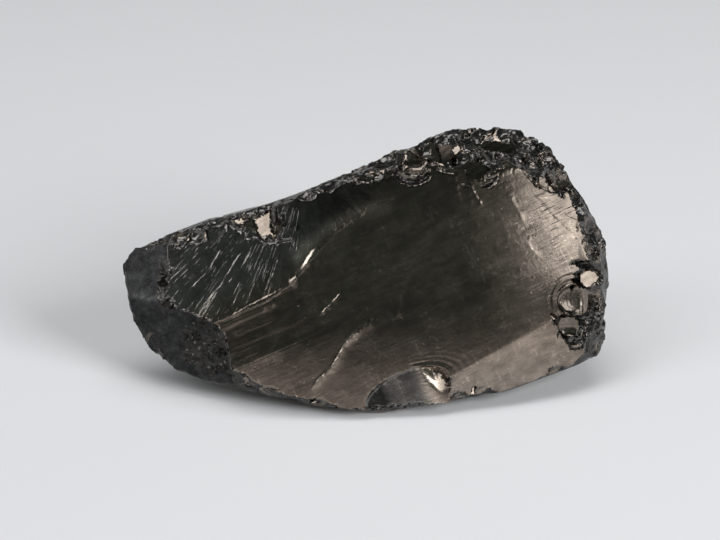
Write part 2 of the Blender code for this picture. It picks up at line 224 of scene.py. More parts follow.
def beside_line(across, up, line):
    """How far places are from a line, positive on its left going along it, and the share gone."""
    nearest = np.full(len(across), 1e9)
    along = np.zeros(len(across))
    gone = 0.0
    for one, two in zip(line, line[1:]):
        run = np.subtract(two, one)
        length = np.hypot(*run)
        x, y = across - one[0], up - one[1]
        held = np.clip((x * run[0] + y * run[1]) / length**2, 0.0, 1.0)
        away = np.hypot(x - run[0] * held, y - run[1] * held)
        side = np.where(run[0] * y - run[1] * x < 0.0, -1.0, 1.0)
        closer = away < np.abs(nearest)
        nearest = np.where(closer, away * side, nearest)
        along = np.where(closer, gone + held * length, along)
        gone += length
    return nearest, along / gone


# The front and the sharp edges are cut finer than the rest, all but the calm middle of the great
# face and the foot, and finer again along the taller hackles.
CALM = ((-4.0, 19.0), (13.0, 37.0))
FACES_FRONT = 0.35
EDGE_BAND = 0.5
FOOT_BAND = 0.6
TALL_HACKLE = 0.06
HACKLE_BAND = 0.42
FRONT_DEPTH = -9.0
bm = bmesh.new()
bm.from_mesh(lump.data)
bm.normal_update()


def wants_detail(face):
    place = face.calc_center_median()
    if face.normal.z > FACES_FRONT:
        return not all(low < c < high for c, (low, high) in zip(place, CALM))
    return sharp.find(place)[2] < EDGE_BAND and place @ Vector(FACE_AXES[:, 2]) + FACE_FOOT[2] > FOOT_BAND


edges = list({e for f in bm.faces if wants_detail(f) for e in f.edges})
bmesh.ops.subdivide_edges(bm, edges=edges, cuts=1, use_grid_fill=True)
bm.verts.index_update()
co = np.array([v.co for v in bm.verts])
close = np.zeros(len(co), bool)
in_front = np.flatnonzero(co[:, 2] > FRONT_DEPTH)
for line, height, *_ in hackles:
    if height > TALL_HACKLE:
        low, high = np.min(line, axis=0) - 1.0, np.max(line, axis=0) + 1.0
        spot = in_front[((co[in_front, :2] > low) & (co[in_front, :2] < high)).all(axis=1)]
        away, _ = beside_line(co[spot, 0], co[spot, 1], line)
        close[spot[np.abs(away) < HACKLE_BAND]] = True
bm.verts.ensure_lookup_table()
edges = [e for e in bm.edges if close[e.verts[0].index] and close[e.verts[1].index]]
bmesh.ops.subdivide_edges(bm, edges=edges, cuts=1, use_grid_fill=True)
for v in bm.verts:
    v.co = solid.find_nearest(v.co)[0]
bmesh.ops.triangulate(bm, faces=[f for f in bm.faces if len(f.verts) > 4])
bm.to_mesh(lump.data)
bm.free()

# --- The great face.
# The largest break: a low dome, smooth as glass. Its upper left went off at a slightly different
# angle, and along the foot on the right a straight strip faces a little further down. Two older, dull
# faces close it off at the left end.

DOME_TOP = (-4.0, 28.0)
DOME_RADIUS_ACROSS = 150.0
DOME_RADIUS_UP = 170.0

# The edge of the darker break on the upper left, how far that break ends up below the dome, and over
# how many millimetres it falls away.
PLUME_LINE = (
    (-50.0, 8.0),
    (-27.0, 17.0),
    (-18.5, 20.5),
    (-13.5, 24.0),
    (-8.5, 30.0),
    (-4.5, 34.0),
    (-0.5, 36.5),
    (1.5, 40.4),
    (3.0, 46.0),
    (5.0, 54.0),
)
PLUME_DEPTH = 1.3
PLUME_FALL = 8.0
STRIP_FROM = np.array((16.8, 7.1))
STRIP_TO = np.array((34.5, 16.8))
STRIP_TILT = math.radians(6.8)

# The dull faces meet in a ridge that starts here. The lower one rises from it to the right, crowned
# at first and curling up after that, and stops at a ledge with a corner in it.
RIDGE_START = (-35.0, 21.0, -3.4)
UPPER_SLOPE = (0.52, -0.05)
LOWER_SLOPE = 0.46
LOWER_RADIUS = 50.0
LOWER_CURL = 0.02
LOWER_CURL_FROM = 2.0
LEDGE_CORNER = (-26.6, 17.0)
LEDGE_LEAN_BELOW = 0.19
LEDGE_LEAN_ABOVE = 2.0

# Only places that are near enough to a break, and face forward, are laid on it. On the strip and
# under the top edge they may be further off.
NEAR_BREAK = 0.25
NEAR_STRIP = 0.5
NEAR_UNDER_TOP = 0.9
FACES_AHEAD = 0.75
GREAT, PLUME, STRIP, UPPER_DULL, LOWER_DULL = range(5)


def vectors_of(items, name):
    """One vector for each item, such as the place of each point of a mesh."""
    found = np.empty(len(items) * 3)
    items.foreach_get(name, found)
    return found.reshape(-1, 3)


def ramp(values, none_at, full_at):
    """How far values are from none_at to full_at, 0 before the one and 1 past the other."""
    return np.clip((values - none_at) / (full_at - none_at), 0.0, 1.0)


places = vectors_of(lump.data.vertices, "co")
turned = vectors_of(lump.data.vertex_normals, "vector")
above_base = places @ FACE_AXES[:, 2] + FACE_FOOT[2]
facing = turned[:, 2]
across, up, proud = places.T.copy()
dome = -((across - DOME_TOP[0]) ** 2) / (2 * DOME_RADIUS_ACROSS)
dome -= (up - DOME_TOP[1]) ** 2 / (2 * DOME_RADIUS_UP)
plume_side, _ = beside_line(across, up, PLUME_LINE)
run = (STRIP_TO - STRIP_FROM) / np.hypot(*(STRIP_TO - STRIP_FROM))
below_strip_edge = run[1] * (across - STRIP_FROM[0]) - run[0] * (up - STRIP_FROM[1])
right, over = across - RIDGE_START[0], up - RIDGE_START[1]
dull_upper = RIDGE_START[2] + UPPER_SLOPE[0] * right + UPPER_SLOPE[1] * over
dull_lower = RIDGE_START[2] + LOWER_SLOPE * (right + over) - right**2 / (2 * LOWER_RADIUS)
dull_lower += LOWER_CURL * np.maximum(right - LOWER_CURL_FROM, 0.0) ** 2
below = LEDGE_CORNER[1] - up
ledge = LEDGE_CORNER[0] + np.where(below > 0.0, LEDGE_LEAN_BELOW, LEDGE_LEAN_ABOVE) * below
breaks = np.array(
    (
        dome,
        dome - PLUME_DEPTH * np.tanh(plume_side / PLUME_FALL),
        dome - math.tan(STRIP_TILT) * below_strip_edge,
        dull_upper,
        np.where(across < ledge, dull_lower, 1e9),
    )
)
lowest = breaks.min(axis=0)
which = breaks.argmin(axis=0)
under_top = (across > -5.0) & (across < 13.0) & (up > 33.0)
near_enough = np.where(under_top, NEAR_UNDER_TOP, np.where(which == STRIP, NEAR_STRIP, NEAR_BREAK))
laid = (np.abs(proud - lowest) < near_enough) & (facing > FACES_AHEAD)
places[laid, 2] = lowest[laid]
glossy = laid & (which <= STRIP)
dull = laid & (which >= UPPER_DULL)

# At the foot a scoop came away, struck at its right end: a nearly flat floor that ends in rings
# round a bulb and stops against a wall. It is an oval, turned, and drawn out downwards past the foot.
# Places in it are along it to the right, and over it upward, from its middle.
SCOOP_MIDDLE = (7.6, 3.9)
SCOOP_TURN = math.radians(22)
SCOOP_HALF = (8.0, 3.6)
SCOOP_DRAWN_OUT = 14.0
SCOOP_AROUND = -0.75
SCOOP_FOOT = 1.2
FLOOR_DEPTH = 0.15
FLOOR_RISE = 0.085

# The bulb's middle and radius, how the floor sinks away outside it, and how high and how close the
# rings on it are.
BULB_MIDDLE = (2.4, -3.5)
BULB_RADIUS = 3.4
BULB_SLOPE = 0.3
BULB_RING_HEIGHT = 0.01
BULB_RINGS = 9.0

# The wall is steepest at the right end, where the face outside it is rippled and has a raised lip.
WALL_STEEP = 16.0
WALL_SLOW = 9.0
WALL_FROM = 2.0
RIPPLE_HEIGHT = 0.05
RIPPLES = 34.0
RIPPLES_FADE = 4.0
LIP_HEIGHT = 0.12
LIP_AT = -0.02
LIP_WIDTH = 0.13

# Only what faces outward, and was no deeper than this below the dome or its plane, is reshaped.
FACES_OUT = 0.2
DOME_CLEARANCE = 2.6
SCOOP_CLEARANCE = -6.5


def close_to(away, width):
    """1 where away is nothing, falling off softly within about the width."""
    return np.exp(-((away / width) ** 2))


x, y = across - SCOOP_MIDDLE[0], up - SCOOP_MIDDLE[1]
along_scoop = x * math.cos(SCOOP_TURN) + y * math.sin(SCOOP_TURN)
over_scoop = y * math.cos(SCOOP_TURN) - x * math.sin(SCOOP_TURN)
half_over = np.where(over_scoop > 0.0, over_scoop / SCOOP_HALF[1], over_scoop / SCOOP_DRAWN_OUT)
inside = 1.0 - np.hypot(along_scoop / SCOOP_HALF[0], half_over)
in_reach = (facing > FACES_OUT) & (above_base > SCOOP_FOOT)
round_it = in_reach & (inside > SCOOP_AROUND) & (proud > dome - DOME_CLEARANCE) & (which != STRIP)
places[round_it, 2] = dome[round_it]
from_bulb = np.hypot(along_scoop - BULB_MIDDLE[0], over_scoop - BULB_MIDDLE[1])
swell = BULB_SLOPE * np.maximum(from_bulb - BULB_RADIUS, 0.0) * ramp(along_scoop, 4.2, 6.0)
swell += BULB_RING_HEIGHT * np.sin(from_bulb * BULB_RINGS) * ramp(along_scoop, 2.5, 4.5)
floor_rise = FLOOR_RISE * ramp(along_scoop, -0.5, -4.0) * (SCOOP_HALF[1] + over_scoop)
floor = FLOOR_DEPTH + floor_rise + swell
wall = np.where(along_scoop > WALL_FROM, WALL_STEEP, WALL_SLOW) * inside
scooped = in_reach & (inside > 0.0) & (proud > SCOOP_CLEARANCE)
places[scooped, 2] = dome[scooped] - np.minimum(floor, np.maximum(wall, 0.0))[scooped]
laid |= round_it | scooped
glossy |= round_it | scooped
rippled = glossy & (inside < 0.0) & (along_scoop > WALL_FROM) & (over_scoop > -1.0)
ripples = RIPPLE_HEIGHT * np.sin(inside * RIPPLES) * np.exp(inside * RIPPLES_FADE)
lip = LIP_HEIGHT * close_to(inside - LIP_AT, LIP_WIDTH) * ramp(along_scoop, 3.0, 4.5)
places[:, 2] += np.where(rippled, ripples * ramp(along_scoop, WALL_FROM, 4.0), 0.0)
places[:, 2] += np.where(rippled, lip, 0.0)

# On the right, and left of the scoop, the clean face runs up to the edge before it crumbled.
right_edge = 40.8 - 0.026 * np.maximum(up - 31.0, 0.0) ** 2
to_edge = (across > 32.5) & (up > 29.0) & (up < 44.0) & (across < right_edge)
to_edge |= (np.abs(across + 4.5) < 5.5) & (np.abs(up - 3.0) < 1.4)
to_edge &= (facing > FACES_OUT) & (proud > dome - DOME_CLEARANCE) & (inside < 0.0)
places[to_edge, 2] = dome[to_edge]
laid |= to_edge
glossy |= to_edge

# At the right end rings of ripples surround a small deep funnel, up to a ragged edge.
FUNNEL = (39.3, 20.9)
FUNNEL_MOUTH = 2.6
FUNNEL_SLOPE = 0.4
RINGS_REACH = 6.6
RINGS_RISE = 0.03
RING_HEIGHT = 0.05
RINGS = 5.7
RINGS_OPEN = 3.3
from_funnel = np.hypot(across - FUNNEL[0], up - FUNNEL[1])
rings = RING_HEIGHT * np.sin(from_funnel * RINGS) * ramp(from_funnel, 5.8, 3.3)
rings += FUNNEL_SLOPE * np.maximum(FUNNEL_MOUTH - from_funnel, 0.0)
rings -= RINGS_RISE * np.maximum(RINGS_REACH - from_funnel, 0.0)
ragged = 39.6 + 0.6 * np.sin(up * 1.7) + 0.3 * np.sin(up * 4.3)
ringed = (from_funnel < RINGS_REACH) & (across < ragged) & (facing > 0.0) & (below_strip_edge < 0.0)
ringed &= places[:, 2] < dome - rings
places[ringed, 2] = (dome - rings)[ringed]
laid |= ringed & (from_funnel > RINGS_OPEN)

# Long streaks slant up it from the left, each a sharp little drop that the face makes up again.
# Above the lowest of them the whole face leans back a little further.
SLANT = math.radians(24)
LEAN_FROM = 18.2
LEAN_REACH = 6.0
LEAN = 0.06
STREAK_COUNT = 46
STREAK_START = 2.0
STREAK_END = 6.0
STREAK_FADE = 2.5
streak_along = across * math.cos(SLANT) + up * math.sin(SLANT)
streak_across = up * math.cos(SLANT) - across * math.sin(SLANT)
lean = LEAN * np.clip(streak_across - LEAN_FROM, 0.0, LEAN_REACH) * ramp(across, 14.0, -6.0) ** 2
lean *= 1.0 - 0.5 * ramp(plume_side, 0.0, 8.0)
places[:, 2] -= np.where(glossy & (which < STRIP), lean, 0.0)

# Each streak: where it lies across the slant, where it begins and ends along it, how deep and how
# wide its drop is, and how it turns off the slant.
streaks = [
    (17.7, -19.5, 5.0, 0.12, 0.6, 0.0),
    (18.9, -19.0, 0.0, 0.06, 0.5, -0.02),
    (20.3, -19.0, -4.0, 0.06, 0.5, -0.06),
    (22.2, -18.5, -8.0, 0.05, 0.5, -0.05),
    (19.2, -12.0, 8.0, 0.04, 0.5, 0.02),
    (16.6, -6.0, 9.0, 0.05, 0.8, 0.03),
]
for _ in range(STREAK_COUNT):
    begin = chance.uniform(-20.0, 0.0)
    middle = chance.uniform(16.0, 26.0)
    end = begin + chance.uniform(5.0, 18.0)
    drop = 0.006 + 0.03 * chance.random() ** 2
    width = chance.uniform(0.3, 0.7)
    streaks.append((middle, begin, end, drop, width, chance.uniform(-0.06, 0.04)))
for middle, begin, end, drop, width, turn in streaks:
    past = streak_across - middle - turn * (streak_along - begin)
    ends = ramp(streak_along, begin, begin + STREAK_START) * ramp(streak_along, end, end - STREAK_END)
    fallen = ramp(past, -0.5 * width, 0.5 * width)
    fallen = fallen * fallen * (3.0 - 2.0 * fallen) * np.exp(-np.maximum(past, 0.0) / STREAK_FADE)
    places[:, 2] -= np.where(glossy & (which == GREAT), drop * fallen * ends, 0.0)

# The hackles stand on it, highest in the middle of their length and never quite even. The steep side
# of the tall ones is freshly broken: rougher, and painted lighter there as a painted highlight.
HACKLE_REACH = 3.0
HACKLE_ENDS = 0.25
FRESH_FROM = 0.1
relief = np.zeros(len(places))
fresh_and_highlit = np.zeros(len(places))
for line, height, steep, slow, side in hackles:
    low, high = np.min(line, axis=0) - HACKLE_REACH, np.max(line, axis=0) + HACKLE_REACH
    spot = np.flatnonzero(glossy & ((places[:, :2] > low) & (places[:, :2] < high)).all(axis=1))
    away, gone = beside_line(across[spot], up[spot], line)
    away = away * side
    blade = np.where(away > 0.0, ramp(away, steep, 0.0), np.exp(away / slow))
    tip = ramp(np.minimum(gone, 1.0 - gone), 0.0, HACKLE_ENDS)
    one, two = chance.uniform(0.0, math.tau), chance.uniform(0.0, math.tau)
    uneven = 0.8 + 0.2 * np.sin(gone * 9.0 + one) + 0.1 * np.sin(gone * 31.0 + two)
    relief[spot] += height * blade * tip * uneven
    on_steep = (away > -0.08) & (away < steep + 0.05)
    newly_broken_and_highlit = tip * min(max(height / FRESH_FROM - 1.0, 0.0), 1.0)
    fresh_and_highlit[spot] = np.maximum(fresh_and_highlit[spot], np.where(on_steep, newly_broken_and_highlit, 0.0))
places[:, 2] += relief

# --- The chipped edges.
# Where two breaks meet, the edge crumbled into small shell-shaped chips, each a hollow with a sharp
# rim, thickest round the top and the right end. The right end bulges a little among them.

BULGE = 1.2
BULGE_AT = 27.0
BULGE_WIDTH = 6.0

# How far a chip is turned off the surface at random. What faces forward less than BACK_FACING is the
# back, where chips keep to the sharp edges. The greater chips in front need a place that faces
# forward more.
TILT = 0.5
BACK_FACING = 0.05
RIM_FACING = 0.25
EDGE_REACH = 0.7
SMALL_STRUCK = 0.8


def chip(middle, out, half, depth):
    """Take a hollow of the given half width and depth out of the surface."""
    radius = (half**2 + depth**2) / (2 * depth)
    centre = middle + out * (radius - depth)
    near = np.flatnonzero((np.abs(places - middle) < half * 1.5).all(axis=1))
    from_centre = places[near] - centre
    over = from_centre @ out
    short = radius**2 - (from_centre**2).sum(axis=1)
    sunk = over + np.sqrt(np.maximum(over**2 + short, 0.0))
    cut = (short > 0.0) & (sunk < depth * 1.8)
    places[near[cut]] -= out * sunk[cut, None]
    return near[cut]


def struck_at(band):
    """One place of a band, and the way a chip struck there faces."""
    at = chance.choice(band)
    out = turned[at] + [chance.uniform(-TILT, TILT) for _ in range(3)]
    return places[at].copy(), out / np.linalg.norm(out)


def out_of_oval(x, y, half_x, half_y):
    """How far out of an oval's middle each place is, 1 being on its rim."""
    return np.hypot((across - x) / half_x, (up - y) / half_y)


places[:, 0] += BULGE * close_to(up - BULGE_AT, BULGE_WIDTH) * ramp(across, 40.0, 43.0)
rim = ~laid & (facing > BACK_FACING) & (above_base > 1.0)
rim_ahead = rim & (facing > RIM_FACING)
behind = (facing <= BACK_FACING) & (above_base > 0.8)
from_edge = np.array([sharp.find(place)[2] for place in places])
on_edge = behind & (from_edge < EDGE_REACH)
struck = np.zeros(len(places))
smooth = np.zeros(len(places))

# Each size of chip along the edges: how many, the least and the greatest half width, how deep
# compared with a full hollow, and where. The shallow ones are smooth inside.
for count, least, greatest, fullness, where in (
    (90, 1.5, 2.8, 1.0, rim_ahead),
    (220, 0.6, 1.5, 1.0, rim),
    (90, 0.9, 2.2, 0.5, rim_ahead),
    (60, 1.5, 3.0, 0.6, on_edge),
    (220, 0.6, 1.4, 1.0, on_edge),
):
    band = np.flatnonzero(where)
    for _ in range(count):
        middle, out = struck_at(band)
        half = least * (greatest / least) ** (chance.random() ** 2)
        cut = chip(middle, out, half, half * chance.uniform(0.12, 0.28) * fullness)
        struck[cut] = 1.0
        smooth[cut] = 0.9 if fullness < 1.0 else 0.0

# The smallest ones are along the foot, and in two patches of the dull faces. They show a little less.
along_foot = laid & (above_base > 0.5) & (above_base < 1.8) & (across > -30.0)
for count, least, greatest, where in (
    (110, 0.25, 0.55, along_foot),
    (120, 0.35, 0.9, dull & (out_of_oval(-28.8, 12.5, 5.5, 5.0) < 1.0)),
    (60, 0.35, 0.9, dull & (out_of_oval(-36.6, 24.0, 1.8, 4.5) < 1.0)),
):
    band = np.flatnonzero(where)
    for _ in range(count):
        middle, out = struck_at(band)
        half = chance.uniform(least, greatest)
        struck[chip(middle, out, half, half * chance.uniform(0.15, 0.3))] = SMALL_STRUCK

# --- The funnel, the ribbed hollows and the flat facets.
# Some breaks along the edges came away clean. The rings round the funnel at the right end stayed
# whole, two shell-shaped hollows kept their ribs, and the facets split off flat.


def relay(where, level):
    """Put places back where they were across and up, at a new level."""
    places[where] = np.stack((across, up, level), axis=1)[where]


# The funnel's floor is ribbed, lies lower than its rings, and falls away to the right.
FLOOR_OVAL = (39.6, 20.7, 3.8, 2.9)
FLOOR_MIDDLE = (38.0, 20.6, -7.2)
FLOOR_FALL = 0.27
FLOOR_BEND = (0.02, 0.03)
FLOOR_DROP = 0.6
FLOOR_DROP_FROM = 40.7
RIBS_FROM = (41.0, 21.5)
FLOOR_RIB = 0.026
FLOOR_RIBS = 9.0
FLOOR_SMOOTH = 0.85
relay(ringed, dome - rings)
struck[ringed] = 0.0
spread = out_of_oval(*FLOOR_OVAL)
floor = (spread < 1.0) & (facing > BACK_FACING)
right = across - FLOOR_MIDDLE[0]
level = FLOOR_MIDDLE[2] - FLOOR_FALL * right + FLOOR_BEND[0] * right**2
level += FLOOR_BEND[1] * (up - FLOOR_MIDDLE[1]) ** 2
from_ribs = np.hypot(across - RIBS_FROM[0], up - RIBS_FROM[1])
level += FLOOR_RIB * np.sin(from_ribs * FLOOR_RIBS + np.sin(up * 1.5))
level -= FLOOR_DROP * np.maximum(across - FLOOR_DROP_FROM, 0.0) ** 2
level += (dome - rings - level) * ramp(spread, 0.86, 1.0) * ramp(across, 41.0, 39.0)
floor &= level > proud - 0.5
relay(floor, level)
smooth[floor] = FLOOR_SMOOTH
rim |= ringed & ~laid
smooth[ringed & (spread > 1.0)] = 1.0

# One ribbed hollow is in the top edge and one in the right end. Each has its middle and half widths,
# how deep its middle is sunk, how far its rim stands over that, how tall and how close its ribs are,
# and how it leans to the right and upward.
HOLLOW_SMOOTH = 0.8
HOLLOW_REACH = 3.0
for x, y, half_x, half_y, sunk, rise, rib, ribs, lean_x, lean_y in (
    (9.6, 47.4, 2.4, 2.4, 0.1, 0.45, 0.03, 24.0, 0.05, -0.08),
    (38.4, 15.9, 2.1, 2.1, 0.514, 0.46, 0.012, 22.0, -0.02, 0.2),
):
    spread = out_of_oval(x, y, half_x, half_y)
    shell = (spread < 1.0) & (facing > BACK_FACING)
    level = proud[np.flatnonzero(shell)[spread[shell].argmin()]] - sunk + rise * spread**2
    level += rib * spread * np.sin(spread * ribs) + lean_y * (up - y) + lean_x * (across - x)
    shell &= np.abs(level - places[:, 2]) < HOLLOW_REACH
    relay(shell, level)
    smooth[shell] = HOLLOW_SMOOTH

# Each flat facet has its outline on the plane of the great face, the way it faces there, and how far
# its middle is sunk. None is quite flat: it dishes a little and carries faint ripples.
FACET_DISH = 40.0
FACET_RIPPLE = 0.006
FACET_RIPPLES = 5.0
FACET_REACH = 3.5
for corners, out, sunk in (
    (
        ((-20.7, 35.9), (-17.6, 37.8), (-17.4, 34.5), (-18.1, 31.9), (-19.4, 32.2), (-20.2, 34.1)),
        (0.338, 0.069, 0.939),
        0.75,
    ),
    (((-24.6, 35.7), (-22.5, 36.4), (-22.7, 35.2), (-23.7, 34.8)), (0.342, 0.068, 0.937), 0.4),
    (((-23.9, 33.7), (-22.8, 34.6), (-23.0, 33.5), (-23.7, 33.1)), (0.342, 0.07, 0.937), 0.35),
    (((-22.4, 35.6), (-20.7, 35.8), (-20.3, 32.6), (-22.2, 32.2)), (0.03, 0.0, 1.0), 0.35),
    (((-26.2, 35.0), (-25.6, 35.3), (-25.6, 33.7), (-26.1, 33.7)), (0.345, 0.069, 0.936), 0.35),
    (((-29.9, 33.9), (-29.4, 34.0), (-29.3, 32.0), (-30.0, 31.9)), (0.349, 0.071, 0.935), 0.35),
    (((-34.0, 32.2), (-32.5, 32.7), (-32.6, 32.1), (-33.9, 31.7)), (0.352, 0.071, 0.933), 0.35),
    (((-36.0, 31.5), (-35.2, 32.0), (-35.0, 31.3), (-35.8, 30.4)), (0.355, 0.072, 0.932), 0.4),
    (
        ((40.6, 25.4), (41.7, 26.4), (43.5, 26.3), (44.4, 25.2), (44.1, 23.9), (42.0, 23.1), (40.8, 23.7)),
        (0.272, 0.082, 0.959),
        0.5,
    ),
    (((38.6, 23.7), (39.7, 25.3), (39.9, 24.3), (39.0, 23.1)), (0.276, 0.083, 0.958), 0.5),
    (((34.6, 18.6), (36.1, 17.8), (35.7, 16.9), (34.9, 17.6)), (0.28, 0.09, 0.956), 0.3),
    (((34.1, 43.0), (35.2, 43.6), (36.1, 41.1), (34.6, 41.0)), (0.281, 0.061, 0.958), 0.35),
    (((16.5, 49.4), (17.8, 50.4), (18.5, 49.5), (17.2, 48.1)), (0.3, 0.052, 0.953), 0.45),
    (((11.9, 50.7), (13.3, 50.9), (14.4, 47.2), (13.7, 46.8), (12.6, 48.7)), (0.08, 0.02, 0.997), 0.9),
    (((13.7, 50.0), (16.5, 50.4), (16.5, 47.3), (14.6, 47.0)), (0.0, -0.15, 0.989), 0.6),
    (((13.1, 46.8), (15.0, 46.4), (14.8, 46.0), (13.3, 46.3)), (0.303, 0.056, 0.951), 0.3),
    (((18.3, 46.5), (21.3, 46.9), (23.3, 45.4), (21.7, 43.3), (19.1, 43.5)), (0.04, 0.1, 0.994), 0.5),
    (((20.9, 50.7), (25.0, 51.3), (28.9, 50.4), (28.5, 48.9), (23.1, 48.9)), (0.0, 0.1, 0.995), 0.6),
    (((19.6, 3.2), (20.2, 4.6), (20.7, 4.8), (20.5, 3.1)), (0.295, 0.106, 0.949), 0.3),
):
    out = np.array(out) / np.linalg.norm(out)
    within = np.zeros(len(places), bool)
    for one, two in zip(corners, corners[1:] + corners[:1]):
        crossed = (one[1] > up) != (two[1] > up)
        slope = (two[0] - one[0]) / ((two[1] - one[1]) or 1.0)
        within ^= crossed & (across < one[0] + (up - one[1]) * slope)
    within &= facing > BACK_FACING
    middle = np.mean(corners, axis=0)
    right, over = across - middle[0], up - middle[1]
    level = proud[np.flatnonzero(within)[np.hypot(right, over)[within].argmin()]] - sunk
    level -= (right * out[0] + over * out[1]) / out[2]
    level += (right**2 + over**2) / (FACET_DISH * np.hypot(*(np.array(corners) - middle).T).max())
    level += FACET_RIPPLE * np.sin(from_funnel * FACET_RIPPLES)
    cut = within & (np.abs(level - places[:, 2]) < FACET_REACH)
    relay(cut, level)
    smooth[cut] = 1.0

# How rough each place is: 1 among the chips, fading into the smooth faces. The dull faces are rough
# in a few patches too.
chipped = np.maximum(rim, struck) * (1.0 - smooth)
for x, y, half_x, half_y, amount in (
    (-29.6, 15.8, 5.5, 3.6, 0.7),
    (-28.5, 10.5, 5.0, 3.0, 0.9),
    (-36.8, 23.0, 1.7, 3.4, 0.7),
    (-36.0, 26.5, 1.5, 2.0, 0.9),
    (-21.5, 6.5, 3.0, 1.8, 0.9),
):
    patch = amount * ramp(out_of_oval(x, y, half_x, half_y), 1.0, 0.5)
    chipped = np.maximum(chipped, np.where(dull, patch, 0.0))

# The rims of the chips are a little worn: each place there moves part of the way to its neighbours'
# middle, twice.
WEAR = 0.4
ends = np.empty(len(lump.data.edges) * 2, int)
lump.data.edges.foreach_get("vertices", ends)
one, two = ends.reshape(-1, 2).T
joined = np.bincount(ends, minlength=len(places))[:, None]
worn = ((np.maximum(rim, struck) > 0.9) | (~laid & (across > 39.0))) & (smooth < 0.95)
for _ in range(2):
    about = np.zeros_like(places)
    for axis in range(3):
        about[:, axis] += np.bincount(one, places[two, axis], len(places))
        about[:, axis] += np.bincount(two, places[one, axis], len(places))
    places[worn] += WEAR * (about / joined - places)[worn]

# --- The lay of the breaks.
# The finest lines left by a break run with it: in a fan on the upper left, elsewhere straight across
# the face at a low slant, and on the back in rings. Each place is given how far along and how far
# across the lines it is, and how strongly each kind of line shows there.

FAN_APART = 200.0
FAN_SPREAD = 26.0
fan = places[:, :2] - FAN_FROM
lay = np.zeros((len(places), 3))
lay[:, 0], lay[:, 1] = streak_along, streak_across
upper_left = laid & (which == PLUME) & (plume_side > 0.0)
lay[upper_left, 0] = np.hypot(*fan[upper_left].T) + FAN_APART
lay[upper_left, 1] = np.arctan2(fan[upper_left, 1], fan[upper_left, 0]) * FAN_SPREAD
on_great = laid & (which == GREAT)
above_lowest = 0.2 + 0.8 * ramp(streak_across, 15.5, 18.0)
streaked = np.where(on_great, (1.0 - ramp(across, -30.0, 4.0)) * above_lowest, 0.0)
streaked = np.clip(streaked, 0.1, 1.0)
hackled = np.where(upper_left, ramp(across, -11.0, -14.0), 0.0)
bright_end = np.where(on_great, ramp(across, 22.0, 30.0) * ramp(up, 18.0, 24.0), 0.0)
fanned = np.where(above_base > 2.0, hackled, 0.0)
hackled = np.maximum(hackled, bright_end)

# The back broke in other ways: rings of ripples spread from where each break began, and some of its
# faces are dull.
BACK_STARTS = ((30.0, 40.0, -28.0), (-24.0, 30.0, -20.0), (6.0, 8.0, -34.0), (38.0, 16.0, -10.0))
BACK_SPREAD = 15.0
BACK_STREAKED = 0.5
BACK_DULL = 0.75
ring = np.full(len(places), 1e9)
for start in BACK_STARTS:
    away = np.linalg.norm(places - start, axis=1)
    nearer = behind & (away < ring)
    ring[nearer] = away[nearer]
    turn = np.arctan2(places[:, 1] - start[1], places[:, 0] - start[0])
    lay[nearer, 0] = turn[nearer] * BACK_SPREAD
    lay[nearer, 1] = ring[nearer]
streaked[behind] = BACK_STREAKED
old = np.sin(places @ (0.13, 0.05, 0.09) + 1.0) + np.sin(places @ (-0.07, 0.16, 0.05) + 4.0)
dullness = np.where(behind, BACK_DULL * np.clip(old * 1.2, 0.0, 1.0), dull)

# --- Light and dark in the coal, much of it painted light.
# The coal's own tone is uneven, and the back is a little darker all over. Much of the rest is painted
# light in the colour: painted highlights along the crest of the ridge, on the scoop's rings and on the
# steep sides of the tall hackles, a painted sheen on the strip, and painted shade on the lower dull
# face, in the scoop and on chips that look down and so have less of the room to reflect.

tone_and_painted_light = np.ones(len(places))

# Painted shade and a painted highlight: the lower of the two dull faces is painted the blackest, and the
# crest between them is painted lighter.
LOWER_DULL_PAINTED_SHADE = 0.62
RIDGE_PAINTED_HIGHLIGHT = 0.9
RIDGE_HIGHLIGHT_WIDTH = 0.25
tone_and_painted_light[dull & (which == LOWER_DULL)] = LOWER_DULL_PAINTED_SHADE
tone_and_painted_light += np.where(dull, RIDGE_PAINTED_HIGHLIGHT * close_to(dull_upper - dull_lower, RIDGE_HIGHLIGHT_WIDTH), 0.0)

BACK_SHADE = 0.65
tone_and_painted_light[behind] *= BACK_SHADE
# Painted shade: chips that look down are painted darker, as they reflect less of the room.
turned_up = turned @ FACE_AXES[:, 2]
tone_and_painted_light *= np.where(chipped > 0.5, np.clip(0.75 + turned_up, 0.5, 1.0), 1.0)

# A crushed band, paler than the rest, runs along the edge of the darker break.
CRUSHED_LINE = ((-12.5, 29.0), (-9.5, 32.0), (-6.3, 34.4), (-3.0, 36.3), (0.5, 37.6), (5.0, 38.8))
CRUSHED_WIDTH = 1.5
CRUSHED_SHINE = 1.6
from_crushed, _ = beside_line(across, up, CRUSHED_LINE)
crushed = close_to(from_crushed, CRUSHED_WIDTH) * ramp(across, 7.0, -1.0)
crushed = np.where(laid & (which < STRIP), crushed, 0.0)
tone_and_painted_light += CRUSHED_SHINE * crushed
hackled = np.maximum(hackled, crushed)

# The strip is painted a little lighter than the great face, a painted sheen for the brighter reflection it
# catches, and the left of the great face is a little darker than its right, with one darker smudge near
# the top. The floor of the scoop is painted dark, as painted shade in the hollow.
STRIP_PAINTED_SHEEN = 1.15
LEFT_SHADE = 0.9
SMUDGE_MIDDLE = (27.0, 41.0)
SMUDGE_RADIUS = 5.0
SMUDGE = 0.22
SCOOP_PAINTED_SHADE = 0.68
tone_and_painted_light[laid & (which == STRIP)] = STRIP_PAINTED_SHEEN
tone_and_painted_light *= np.where(on_great, LEFT_SHADE + (1.0 - LEFT_SHADE) * ramp(across, -5.0, 15.0), 1.0)
from_smudge = np.hypot(across - SMUDGE_MIDDLE[0], up - SMUDGE_MIDDLE[1])
tone_and_painted_light *= 1.0 - SMUDGE * close_to(from_smudge, SMUDGE_RADIUS)
tone_and_painted_light[scooped] = SCOOP_PAINTED_SHADE
